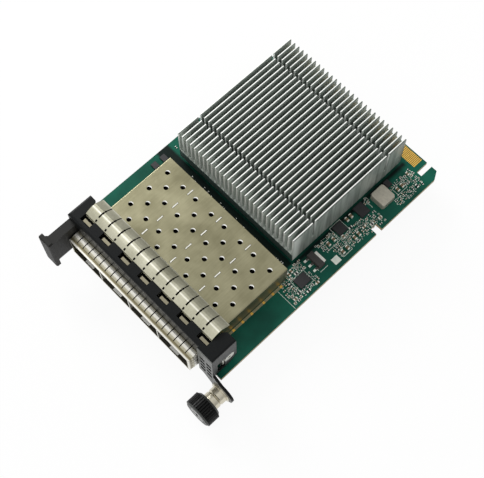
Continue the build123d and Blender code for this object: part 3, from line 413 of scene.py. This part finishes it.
MATS = {
    "board": board_material(),
    "gold": plain("gold_plate", srgb(250, 196, 92), metallic=0.8, rough=0.34, vary=0.08),
    "cage": sheet_material("nickel_sheet", srgb(133, 129, 102), srgb(152, 148, 121), rough=0.34),
    "gasket": gasket_material(),
    "strip": strip_material(),
    # Painted highlight: a brighter copy of the nickel sheet, for the cage dividers and the edge of a
    # mounting block
    "bright": plain("highlight_sheet", srgb(232, 231, 222), metallic=0.8, rough=0.34, vary=0.05),
    "black_sheet": black_sheet_material(),
    "pull": plain("black_moulding", srgb(28, 28, 26), rough=0.55, specular=0.25, bump=0.00002, scale=1800),
    "knob": knob_material(),
    # Painted shade: near black for the finger slits, the notches and the sheet in the cage
    "dark": plain("painted_shade", srgb(7, 7, 7), rough=0.9, specular=0.0),
    # Also serves as the painted highlight of the vent rims
    "tongue": plain("tongue_top", srgb(232, 232, 228), metallic=0.1, rough=0.5, vary=0.04),
    # Painted shade: dark grey for the floors in the mouths of the ports
    "mouth": plain("mouth_floor", srgb(58, 56, 50), metallic=0.3, rough=0.6, specular=0.2),
    "nickel": plain("nickel_plate", srgb(208, 202, 184), metallic=1.0, rough=0.26, vary=0.06),
    "steel": plain("steel", srgb(206, 205, 198), metallic=0.9, rough=0.34),
    "dark_steel": plain("dark_steel", srgb(142, 142, 140), metallic=1.0, rough=0.36),
    "heatsink": heatsink_material(),
    "chip": plain("chip_moulding", srgb(40, 40, 42), specular=0.4, bump=0.00001, scale=2500),
    "regulator": plain("regulator_moulding", srgb(58, 56, 54), specular=0.4, bump=0.00001, scale=2500),
    "inductor": plain("inductor_case", srgb(186, 181, 167), metallic=0.5, rough=0.42, bump=0.00001,
                      scale=1500),
    "ceramic": plain("ceramic_body", srgb(122, 102, 76), specular=0.4),
    "resistor": plain("resistor_body", srgb(26, 26, 28), rough=0.45, specular=0.4),
    "tin": plain("tinned_end", srgb(240, 240, 232), metallic=0.4, rough=0.4, vary=0.06, scale=2500),
    "silk": plain("printed_white", srgb(222, 228, 218), rough=0.6, specular=0.2, vary=0.05),
    "rail": plain("foot_rail", srgb(150, 144, 116), metallic=0.6, rough=0.45),
    "pad": plain("soft_pad", srgb(150, 150, 150), rough=0.8),
    "connector": plain("connector_moulding", srgb(30, 30, 30), specular=0.3),
}

LOOK = {
    "board": ["circuit_board"],
    "gold": ["edge_contacts_top", "edge_contacts_bottom"],
    "cage": ["cage_cover", "cage_base"],
    # Painted highlight on the cage dividers
    "bright": ["cage_dividers"],
    "gasket": ["front_gasket"],
    "strip": ["gasket_strip"],
    "black_sheet": ["bracket"],
    "steel": ["mounting_blocks", "side_screws", "board_screws", "thumbscrew_spring", "heatsink_screws"],
    "pull": ["pull_tab"],
    "dark_steel": ["pull_tab_screws", "thumbscrew_screw"],
    "nickel": ["thumbscrew_ferrule", "heatsink_standoffs"],
    "knob": ["thumbscrew_knob"],
    "heatsink": ["heatsink"],
    "pad": ["thermal_pad"],
    "inductor": ["inductor"],
    "chip": ["network_controller", "power_stage_rear", "power_stage_middle", "management_chip",
             "small_chips", "underside_chips"],
    "regulator": ["linear_regulator"],
    "ceramic": ["capacitors", "underside_capacitors"],
    "connector": [f"host_connector_{k}" for k in range(1, port_count + 1)],
}
for look, names in LOOK.items():
    for name in names:
        nodes[name].data.materials.clear()
        nodes[name].data.materials.append(MATS[look])


# Ways to make the small pieces that only the look needs

def keep(name, bm, material):
    """Makes an object of a mesh and lets it ride on the card."""
    mesh = bpy.data.meshes.new(name)
    bm.to_mesh(mesh)
    bm.free()
    mesh.materials.append(MATS[material])
    ob = bpy.data.objects.new(name, mesh)
    bpy.context.scene.collection.objects.link(ob)
    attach(ob, "card")
    return ob


def box(at, size, turn=0):
    """A box by its centre, its size and its turn about Z in degrees, in millimetres."""
    return at, size, turn


def mesh_piece(name, boxes, material, bevel=0.0):
    """One object made of many boxes."""
    bm = bmesh.new()
    for at, size, turn in boxes:
        made = bmesh.ops.create_cube(bm, size=1.0)
        place = Matrix.Translation(Vector(at) * MM) @ Matrix.Rotation(math.radians(turn), 4, "Z")
        shape = Matrix.Diagonal((*(s * MM for s in size), 1))
        bmesh.ops.transform(bm, matrix=place @ shape, verts=made["verts"])
    ob = keep(name, bm, material)
    if bevel:
        edges = ob.modifiers.new("edges", "BEVEL")
        edges.width = bevel * MM
        edges.segments = 1
        edges.limit_method = "NONE"


def add_band(bm, pairs):
    """A row of faces between pairs of corners, given in millimetres."""
    corners = [[bm.verts.new(Vector(corner) * MM) for corner in pair] for pair in pairs]
    for (a, b), (c, d) in zip(corners, corners[1:]):
        bm.faces.new((a, b, d, c))


def add_ribbon(bm, x, width, points):
    """A thin ribbon along the card, by its middle, its width and its points of y and z."""
    add_band(bm, [[(x + side * width / 2, y, z) for side in (-1, 1)] for y, z in points])


def ring_point(x, y, radius, angle, z):
    """A point on a level ring round a place."""
    return x + radius * math.cos(angle), y + radius * math.sin(angle), z


# The small pieces on the cage and the bracket

def finger_slit_shade():
    """Painted shade: dark ribbons in the slits between the fingers of the gasket strip and of the front
    gasket.
    """
    slope_width, slope_lift = 0.62, 0.19
    slope_start, slope_step, slope_points = -101.9, 0.8, 8
    lip_width, lip_lift = 0.6, 0.27
    lip_step, lip_points = 0.4, 3
    gasket_width, gasket_sink = 0.4, 0.02
    slope_places = [slope_start + slope_step * k for k in range(slope_points)]
    lip_places = [strip_front + lip_step * k for k in range(lip_points)]
    bm = bmesh.new()
    for i in range(1, strip_fingers):
        x = strip_left + strip_pitch * i
        add_ribbon(bm, x, slope_width, [(y, strip_height(y) + slope_lift) for y in slope_places])
        add_ribbon(bm, x, lip_width, [(y, strip_height(y) + lip_lift) for y in lip_places])
    for i in range(1, gasket_fingers):
        x = gasket_left + gasket_pitch * i
        add_ribbon(bm, x, gasket_width, [(y, z - gasket_sink) for y, z in gasket_profile])
    keep("finger_slit_shade", bm, "dark")


def notch_shade():
    """Painted shade: dark plates in the notches in front of the strip."""
    y, z = -105.05, 17.76
    places = [notch_first + notch_pitch * k for k in range(notch_count)]
    shade_plates = [box(at=(x, y, z), size=(4.5, 2.4, 0.08)) for x in places]
    mesh_piece("notch_shade", shade_plates, "dark")


def port_mouth_shade():
    """Painted shade: dark floors in the mouths of the ports, seen over the front edge of the cage."""
    y, z = -110.9, 0.44
    shade_plates = [box(at=(x, y, z), size=(port_width, 2.8, 0.06)) for x in ports]
    mesh_piece("port_mouth_shade", shade_plates, "mouth")


def tongue_tops():
    """Bright tops of the tongues in the mouths of the ports."""
    thickness = 0.04
    middle = (tongue_front + tongue_rear) / 2
    size = (tongue_width, tongue_rear - tongue_front, thickness)
    tops = [box(at=(x, middle, tongue_top + thickness / 2), size=size) for x in ports]
    mesh_piece("tongue_tops", tops, "tongue")


def vent_rim_highlights():
    """Painted highlights: crescents on the far side of the vent holes, where the drawn-in edge of a hole
    catches the light.
    """
    first_angle, last_angle, steps = 25, 205, 8
    outer_radius, z = vent_radius - 0.02, cage_top - 0.01
    least_width, depth, drop = 0.01, 0.42, 0.1
    holes = [(x + side * vent_offset, y) for x in ports for side in (-1, 1) for y in vents_beside]
    holes += [(x, y) for x in ports for y in vents_middle]
    bm = bmesh.new()
    for x, y in holes:
        pairs = []
        for k in range(steps + 1):
            angle = math.radians(first_angle + (last_angle - first_angle) * k / steps)
            inner_radius = outer_radius - depth * math.sin(math.pi * k / steps) - least_width
            outer = ring_point(x, y, outer_radius, angle, z)
            inner = ring_point(x, y, inner_radius, angle, z - drop)
            pairs.append((outer, inner))
        add_band(bm, pairs)
    # The bright tongue colour paints the highlight of the rims
    keep("vent_rim_highlights", bm, "tongue")


def cage_shade():
    """Dark sheet in the cage under the vent holes."""
    middle = (ports[0] + ports[-1]) / 2
    sheet = box(at=(middle, -87.2, cage_top - 1.2), size=(56.4, 39.4, 0.06))
    mesh_piece("cage_shade", [sheet], "dark")


# Small parts and printed strokes of the board

rng = random.Random(7)
bodies, dark_bodies, ends, prints = [], [], [], []
print_z = 0.008
print_height = 0.012
end_share = 0.26
body_share = 0.96

# Taken places, as centre and size across and along the card. What is scattered later joins them
spots = [
    (30.05, -21.75, 6.5, 6.3),   # inductor
    (28.2, -30.35, 4.8, 4.1),    # rear power stage
    (27.9, -40.8, 4.0, 4.0),     # middle power stage
    (32.3, -63.75, 4.0, 4.9),    # management chip
    (27.6, -16.4, 2.6, 2.2),     # small chip
    (30.35, -55.2, 6.5, 7.6),    # regulator with its leads and tab
    (27.2, -35.6, 1.8, 3.2),     # five pairs of capacitors
    (29.2, -46.4, 1.8, 3.8),
    (31.6, -14.3, 1.8, 3.4),
    (34.6, -45.1, 1.8, 3.4),
    (33.8, -38.5, 1.8, 3.4),
    (35.0, -49.9, 3.4, 3.6),     # plain printed patch
]

# Fields of small parts: range across the card, range along it, and how many
fields = [
    ((29.4, 36.0), (-12.0, -6.6), 24),
    ((33.6, 36.6), (-19.6, -11.0), 16),
    ((28.6, 30.4), (-17.8, -6.6), 8),
    ((30.2, 35.8), (-48.0, -33.2), 46),
    ((26.4, 31.0), (-52.2, -43.0), 16),
    ((26.2, 30.0), (-67.0, -58.8), 22),
    ((31.2, 36.4), (-61.0, -58.8), 6),
    ((34.8, 36.6), (-67.0, -61.0), 5),
    ((29.4, 34.0), (-69.4, -66.6), 7),
    ((26.0, 28.0), (-29.0, -25.4), 4),
    ((26.2, 36.4), (-71.0, -66.8), 22),
    ((31.0, 36.6), (-36.0, -27.0), 18),
]

# Widths, lengths and heights of small parts. The first is drawn twice as often as the others
part_sizes = [(0.5, 1.0, 0.35), (0.5, 1.0, 0.35), (0.3, 0.6, 0.25), (0.8, 1.5, 0.6)]
place_step = 0.35
part_gap = 0.12
tries_per_part = 12
dark_share = 0.5
stroked_share = 0.4
side_stroke_width = 0.13
side_stroke_gap = 0.16
stroke_sizes = ((0.16, 0.7), (0.7, 0.16), (0.3, 0.3), (0.16, 0.4), (0.5, 0.2))
strokes_per_part = 3
stroke_gap = 0.25


def passive(x, y, width, length, height, turn, dark):
    """A small chip part: a body with a tinned end on each short side."""
    cap = length * end_share
    angle = math.radians(turn)
    size = (width * body_share, length - 2 * cap, height * body_share)
    (dark_bodies if dark else bodies).append(box((x, y, height / 2 * body_share), size, turn))
    for side in (-1, 1):
        d = side * (length - cap) / 2
        at = (x - d * math.sin(angle), y + d * math.cos(angle), height / 2)
        ends.append(box(at, (width, cap, height), turn))


def stroke(x, y, width, length):
    """A printed stroke."""
    prints.append(box((x, y, print_z), (width, length, print_height)))


def outline(x, y, width, length, line=0.14):
    """A printed outline of a package."""
    for side in (-1, 1):
        stroke(x + side * width / 2, y, line, length + line)
        stroke(x, y + side * length / 2, width, line)


def taken(x, y, gap):
    """Whether a place lies on a taken one or nearer to it than the gap."""
    for spot_x, spot_y, width, length in spots:
        if abs(x - spot_x) < width / 2 + gap and abs(y - spot_y) < length / 2 + gap:
            return True
    return False


def side_strokes(x, y, width, length, turn):
    """A printed stroke along each long side of a small part."""
    for side in (-1, 1):
        offset = side * (width / 2 + side_stroke_gap)
        if turn == 0:
            stroke(x + offset, y, side_stroke_width, length)
        else:
            stroke(x, y + offset, length, side_stroke_width)


def scatter_parts(range_x, range_y, count):
    """Small parts at random places of a field, on a grid, some of them with printed strokes."""
    made = 0
    for _ in range(count * tries_per_part):
        if made == count:
            break
        turn = rng.choice((0, 90))
        width, length, height = rng.choice(part_sizes)
        across, along = (width, length) if turn == 0 else (length, width)
        x = round(rng.uniform(*range_x) / place_step) * place_step
        y = round(rng.uniform(*range_y) / place_step) * place_step
        if taken(x, y, max(across, along) / 2 + part_gap):
            continue
        spots.append((x, y, across, along))
        passive(x, y, width, length, height, turn, dark=rng.random() < dark_share)
        made += 1
        if rng.random() < stroked_share:
            side_strokes(x, y, width, length, turn)


def scatter_strokes(range_x, range_y, count):
    """Short printed strokes among the small parts of a field."""
    for _ in range(count * strokes_per_part):
        x, y = rng.uniform(*range_x), rng.uniform(*range_y)
        if not taken(x, y, stroke_gap):
            width, length = rng.choice(stroke_sizes)
            spots.append((x, y, width, length))
            stroke(x, y, width, length)


def gap_row():
    """Row of small parts in the gap between the cage and the heatsink."""
    first_x, pitch, middle_y, stray = -28.5, 2.05, -64.4, 0.5
    places, filled_share = 26, 0.7
    for i in range(places):
        if rng.random() < filled_share:
            y = middle_y + rng.uniform(-stray, stray)
            turn = rng.choice((0, 90))
            passive(first_x + i * pitch, y, *part_sizes[0], turn, dark=True)


def left_column():
    """Column of small parts beside the heatsink on the left."""
    middle_x, first_y, pitch, stray = -34.2, -60.0, 3.0, 0.8
    places, filled_share = 18, 0.6
    for i in range(places):
        if rng.random() < filled_share:
            x = middle_x + rng.uniform(-stray, stray)
            turn = rng.choice((0, 90))
            passive(x, first_y + i * pitch, *part_sizes[0], turn, dark=rng.random() < dark_share)


def printed_marks():
    """Printed outlines of packages, some longer strokes and one plain patch."""
    outline(29.2, -46.4, width=3.2, length=5.2)
    outline(27.9, -40.8, width=5.2, length=5.0)
    outline(31.6, -14.3, width=3.0, length=4.6)
    outline(32.3, -63.75, width=5.2, length=6.2)
    outline(34.6, -45.1, width=2.8, length=4.4)
    stroke(33.5, -72.4, width=8.4, length=0.16)
    stroke(34.4, -55.2, width=0.16, length=3.6)
    stroke(33.0, -57.0, width=1.4, length=0.16)
    stroke(28.9, -26.6, width=2.6, length=0.16)
    stroke(35.0, -49.9, width=2.6, length=2.8)


def small_parts():
    """All small parts and strokes, in the one order that the random draws follow."""
    for field in fields:
        scatter_parts(*field)
    for field in fields:
        scatter_strokes(*field)
    gap_row()
    left_column()
    printed_marks()
    mesh_piece("passive_bodies", bodies, "ceramic")
    mesh_piece("resistor_bodies", dark_bodies, "resistor")
    mesh_piece("passive_ends", ends, "tin", bevel=0.04)
    mesh_piece("board_print", prints, "silk")


def capacitor_ends():
    """Tinned ends of the modelled capacitors."""
    places = [(27.2, -36.6), (27.2, -34.6), (29.2, -47.7), (29.2, -45.2), (31.6, -15.4),
              (31.6, -13.2), (34.6, -44.0), (34.6, -46.2), (33.8, -37.5), (33.8, -39.5)]
    offset, size = 0.66, (0.42, 0.94, 0.92)
    caps = [box((x + side * offset, y, size[2] / 2), size) for x, y in places for side in (-1, 1)]
    mesh_piece("capacitor_ends", caps, "tin", bevel=0.05)


def regulator_leads():
    """The three leads and the tab of the linear regulator."""
    middle, pitch, z = 30.35, 2.3, 0.17
    leads = [box(at=(middle + i * pitch, -57.55, z), size=(0.86, 2.0, 0.36)) for i in (-1, 0, 1)]
    tab = box(at=(middle, -53.2, z), size=(4.8, 1.36, 0.36))
    mesh_piece("regulator_leads", [*leads, tab], "tin", bevel=0.08)


def block_edge_highlight():
    """Painted highlight: a bright edge of the mounting block that shows in the side window of the bracket.
    """
    edge = box(at=(35.4, -103.8, 7.2), size=(0.5, 0.6, 6.6))
    mesh_piece("block_edge_highlight", [edge], "bright")


def cage_foot():
    """Rail along the foot of the cage, with its solder pads."""
    rail = box(at=(28.75, -83.0, 0.03), size=(0.9, 27.0, 0.06))
    mesh_piece("cage_foot_rail", [rail], "rail")
    pad_places = (-70.4, -74.2, -78.6, -84.2, -88.4, -92.6, -96.0)
    pads = [box(at=(28.8, y, 0.05), size=(0.86, 0.9, 0.08)) for y in pad_places]
    mesh_piece("cage_foot_pads", pads, "gold")


finger_slit_shade()
notch_shade()
port_mouth_shade()
tongue_tops()
vent_rim_highlights()
cage_shade()
small_parts()
capacitor_ends()
regulator_leads()
block_edge_highlight()
cage_foot()


# Floor, sky, light and camera

def tree_node(tree, kind, operation=None):
    """A new node of a kind, with its operation where it has one."""
    new = tree.nodes.new(kind)
    if operation:
        new.operation = operation
    return new


def floor_material():
    """Pale matt floor, nearly white to camera, glossy and transmission rays, that keeps the shadow."""
    grey, glow_share = 0.86, 0.93
    material = bpy.data.materials.new("floor")
    material.use_nodes = True
    tree = material.node_tree
    tree.nodes.clear()
    link = tree.links.new
    diffuse = tree_node(tree, "ShaderNodeBsdfDiffuse")
    diffuse.inputs["Color"].default_value = (grey, grey, grey, 1)
    glow = tree_node(tree, "ShaderNodeEmission")
    glow.inputs["Strength"].default_value = 1.0

    path = tree_node(tree, "ShaderNodeLightPath")
    camera_or_glossy = tree_node(tree, "ShaderNodeMath", "MAXIMUM")
    link(path.outputs["Is Camera Ray"], camera_or_glossy.inputs[0])
    link(path.outputs["Is Glossy Ray"], camera_or_glossy.inputs[1])
    any_of_three = tree_node(tree, "ShaderNodeMath", "MAXIMUM")
    link(camera_or_glossy.outputs[0], any_of_three.inputs[0])
    link(path.outputs["Is Transmission Ray"], any_of_three.inputs[1])
    share = tree_node(tree, "ShaderNodeMath", "MULTIPLY")
    link(any_of_three.outputs[0], share.inputs[0])
    share.inputs[1].default_value = glow_share

    mixer = tree_node(tree, "ShaderNodeMixShader")
    link(share.outputs[0], mixer.inputs["Fac"])
    link(diffuse.outputs[0], mixer.inputs[1])
    link(glow.outputs[0], mixer.inputs[2])
    link(mixer.outputs[0], tree_node(tree, "ShaderNodeOutputMaterial").inputs["Surface"])
    return material


def floor_object(height, reach):
    """A level square floor."""
    corners = [(x * reach, y * reach, height) for x, y in ((-1, -1), (1, -1), (1, 1), (-1, 1))]
    mesh = bpy.data.meshes.new("floor")
    mesh.from_pydata(corners, [], [(0, 1, 2, 3)])
    mesh.materials.append(floor_material())
    ob = bpy.data.objects.new("floor", mesh)
    bpy.context.scene.collection.objects.link(ob)
    return ob


def add_sky():
    """A sky brightest above the front of the card and darkest low behind it, and white to the camera."""
    brightest_towards = (0.0, -0.5, 0.87)
    greys = ((0.0, 0.24), (0.37, 0.38), (0.55, 0.46), (0.83, 0.76), (1.0, 0.98))
    green_share, blue_share = 0.997, 0.985
    world = bpy.data.worlds.new("studio")
    bpy.context.scene.world = world
    world.use_nodes = True
    tree = world.node_tree
    link = tree.links.new

    towards = tree_node(tree, "ShaderNodeVectorMath", "DOT_PRODUCT")
    towards.inputs[1].default_value = brightest_towards
    link(tree_node(tree, "ShaderNodeTexCoord").outputs["Generated"], towards.inputs[0])
    brightness = tree_node(tree, "ShaderNodeMapRange")
    brightness.inputs["From Min"].default_value = -1.0
    link(towards.outputs["Value"], brightness.inputs["Value"])
    ramp = tree_node(tree, "ShaderNodeValToRGB")
    link(brightness.outputs["Result"], ramp.inputs["Fac"])
    stops = ramp.color_ramp.elements
    while len(stops) < len(greys):
        stops.new(0.5)
    for stop, (position, grey) in zip(stops, greys):
        stop.position = position
        stop.color = (grey, grey * green_share, grey * blue_share, 1)

    gradient = tree.nodes["Background"]
    gradient.inputs["Strength"].default_value = 1.0
    link(ramp.outputs["Color"], gradient.inputs["Color"])
    white = tree_node(tree, "ShaderNodeBackground")
    white.inputs["Color"].default_value = (1, 1, 1, 1)
    sky = tree_node(tree, "ShaderNodeMixShader")
    link(tree_node(tree, "ShaderNodeLightPath").outputs["Is Camera Ray"], sky.inputs["Fac"])
    link(gradient.outputs["Background"], sky.inputs[1])
    link(white.outputs["Background"], sky.inputs[2])
    link(sky.outputs["Shader"], tree.nodes["World Output"].inputs["Surface"])


def add_key_light():
    """One soft square lamp, high on the left of the card."""
    at, target = Vector((-0.62, 0.02, 0.52)), Vector((0.0, -0.055, 0.0))
    data = bpy.data.lights.new("key", "AREA")
    data.shape = "SQUARE"
    data.size = 0.35
    data.energy = 4.4
    ob = bpy.data.objects.new("key", data)
    bpy.context.scene.collection.objects.link(ob)
    ob.location = at
    ob.rotation_mode = "QUATERNION"
    ob.rotation_quaternion = (target - at).to_track_quat("-Z", "Y")


def add_camera():
    """The camera of the photograph, fitted to measured points, placed in metres and turned in degrees."""
    at = (0.108102, -0.163255, 0.336451)
    turns = (22.4636, 0.2443, 46.0358)
    focal_pixels, picture_width = 1054.0, 484
    data = bpy.data.cameras.new("camera")
    data.sensor_fit = "HORIZONTAL"
    data.sensor_width = 36.0
    data.lens = focal_pixels / picture_width * data.sensor_width
    data.clip_start = 0.01
    data.clip_end = 20
    ob = bpy.data.objects.new("camera", data)
    bpy.context.scene.collection.objects.link(ob)
    turned = Euler([math.radians(angle) for angle in turns], "XYZ").to_matrix().to_4x4()
    ob.matrix_world = Matrix.Translation(at) @ turned
    bpy.context.scene.camera = ob


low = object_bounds()[0]
floor = floor_object(low.z, reach=4.0)
add_sky()
add_key_light()
add_camera()
bpy.context.scene.view_settings.view_transform = "Standard"
